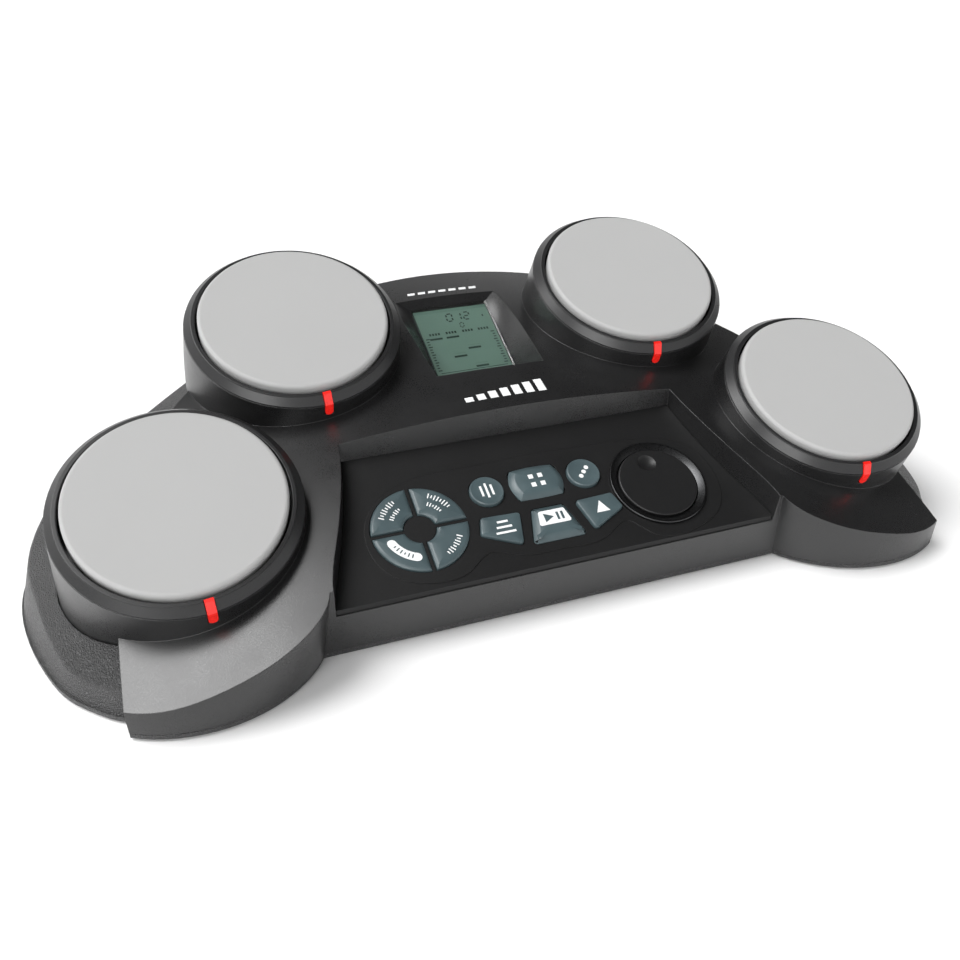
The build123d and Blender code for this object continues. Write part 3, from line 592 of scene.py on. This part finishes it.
ink = []
for x, char in zip((-2.2, 3.3, 8.6), "012"):
    ink += digit(char, x, 26.0, 3.5, 6.0, 1.2)
ink += digit("0", 3.6, 18.9, 2.2, 3.8, 0.85)
columns = (-15.3, -5.0, 5.4, 15.4)
for cx in columns:
    ink += [bar(cx - 2.7 + 1.8 * k, 13.9, 1.2, 1.8) for k in range(4)]
for column, cy in ((0, 10.1), (1, 10.1), (2, -0.3), (1, -5.6), (2, -15.0)):
    ink.append(bar(columns[column], cy, 7.8, 1.45))
ink.append(bar(0.0, -16.8, 41.0, 0.45))
for k in range(13):
    y = 10.6 - 2.1 * k
    long = 2.3 if k % 3 == 0 else 1.6
    ink.append(bar(-21.6 + long / 2, y, long, 0.8))
    ink.append(bar(21.4 - long / 2, y, long, 0.8))
ink.append(bar(18.6, 24.6, 0.9, 1.6))
# Faint unlit segments, plus a darker band along the display's top edge (the last bar), which is painted
# shade.
faint_and_shade = [bar(columns[2], 2.2, 7.8, 0.8), bar(columns[1], -3.1, 7.8, 0.8), bar(columns[2], -12.6, 7.8, 0.8),
         bar(0.0, 32.3, 45.4, 2.2)]
decal("lcd_marks", ink, GLASS, 0.16, LCD_INK, thick=0.02)
decal("lcd_faint_and_shade_marks", faint_and_shade, GLASS, 0.16, LCD_FAINT_AND_SHADE, thick=0.02)


# ---- print on the deck -----------------------------------------------------------------
def deck_height(x, y):
    dx, dy = x * MM - DECK_CENTRE.x, y * MM - DECK_CENTRE.y
    return (DECK_CENTRE.z + math.sqrt(DECK_R ** 2 - dx * dx - dy * dy)) / MM


def divided(outline, step=2.0):
    """Outline with long runs cut up, so that a thin print follows the curved deck."""
    out = []
    for i, a in enumerate(outline):
        b = outline[(i + 1) % len(outline)]
        length = math.hypot(b[0] - a[0], b[1] - a[1])
        cuts = max(1, int(length / step))
        out += [(a[0] + (b[0] - a[0]) * k / cuts, a[1] + (b[1] - a[1]) * k / cuts) for k in range(cuts)]
    return out


def slanted(x0, y0, w, h, lean):
    return [(x0, y0), (x0 + w, y0), (x0 + w + lean, y0 + h), (x0 + lean, y0 + h)]


badge = [bar(-21.0 + 7.0 * k, -8.5 + 0.5 * k, 4.6, 3.4 + 1.0 * k) for k in range(7)]
badge = [divided(s) for s in badge]
decal("deck_mark", badge, Matrix.Identity(4), 0.0, WHITE_INK, thick=0.06, lift=deck_height)
rule = [divided(slanted(-22.0 + 6.6 * k, 98.6, 4.6, 2.6, 0.7), 1.5) for k in range(7)]
decal("deck_rule", rule, Matrix.Identity(4), 0.0, WHITE_INK, thick=0.06, lift=deck_height)

# ---- studio ----------------------------------------------------------------------------
scene = bpy.context.scene
scene.view_settings.view_transform = "Standard"
scene.view_settings.look = "None"
floor_mesh = bpy.data.meshes.new("floor")
FLOOR = 6.0
corners = [(-FLOOR, -FLOOR, 0), (FLOOR, -FLOOR, 0), (FLOOR, FLOOR, 0), (-FLOOR, FLOOR, 0)]
floor_mesh.from_pydata(corners, [], [(0, 1, 2, 3)])
floor = bpy.data.objects.new("floor", floor_mesh)
scene.collection.objects.link(floor)
floor_mat = Mat("floor", (0.9, 0.9, 0.9), 0.7, spec=0.2)
floor_mat.bump(floor_mat.noise(30.0), 0.02, 0.05 * MM)
floor_mesh.materials.append(floor_mat.mat)

world = bpy.data.worlds.new("studio")
scene.world = world
world.use_nodes = True
tree = world.node_tree
sky = tree.nodes["Background"]
sky.inputs["Color"].default_value = (1.0, 1.0, 1.0, 1.0)
direction = tree.nodes.new("ShaderNodeTexCoord").outputs["Generated"]


def sky_range(value, low, high, a, b):
    n = tree.nodes.new("ShaderNodeMapRange")
    n.interpolation_type = "SMOOTHSTEP"
    tree.links.new(value, n.inputs["Value"])
    for key, number in (("From Min", low), ("From Max", high), ("To Min", a), ("To Max", b)):
        n.inputs[key].default_value = number
    return n.outputs["Result"]


def sky_patch(toward, outer, inner, a, b):
    """Value a away from a direction and b close to it; outer and inner are half angles in degrees."""
    n = tree.nodes.new("ShaderNodeVectorMath")
    n.operation = "DOT_PRODUCT"
    tree.links.new(direction, n.inputs[0])
    n.inputs[1].default_value = Vector(toward).normalized()
    return sky_range(n.outputs["Value"], math.cos(math.radians(outer)), math.cos(math.radians(inner)), a, b)


def sky_math(operation, a, b):
    n = tree.nodes.new("ShaderNodeMath")
    n.operation = operation
    tree.links.new(a, n.inputs[0])
    tree.links.new(b, n.inputs[1])
    return n.outputs["Value"]


split = tree.nodes.new("ShaderNodeSeparateXYZ")
tree.links.new(direction, split.inputs["Vector"])
backdrop = sky_range(split.outputs["Z"], 0.42, 0.62, 1.0, 0.05)
backdrop = sky_math("MULTIPLY", backdrop, sky_patch((0.86, 0.3, 0.42), 38, 20, 1.0, 0.12))
overhead_box = sky_patch((-0.46, 0.12, 0.88), 25, 14, 0.0, 8.0)
front_box = sky_patch((-0.52, -0.68, 0.52), 22, 12, 0.0, 5.0)
studio = sky_math("ADD", sky_math("ADD", backdrop, overhead_box), front_box)
tree.links.new(studio, sky.inputs["Strength"])
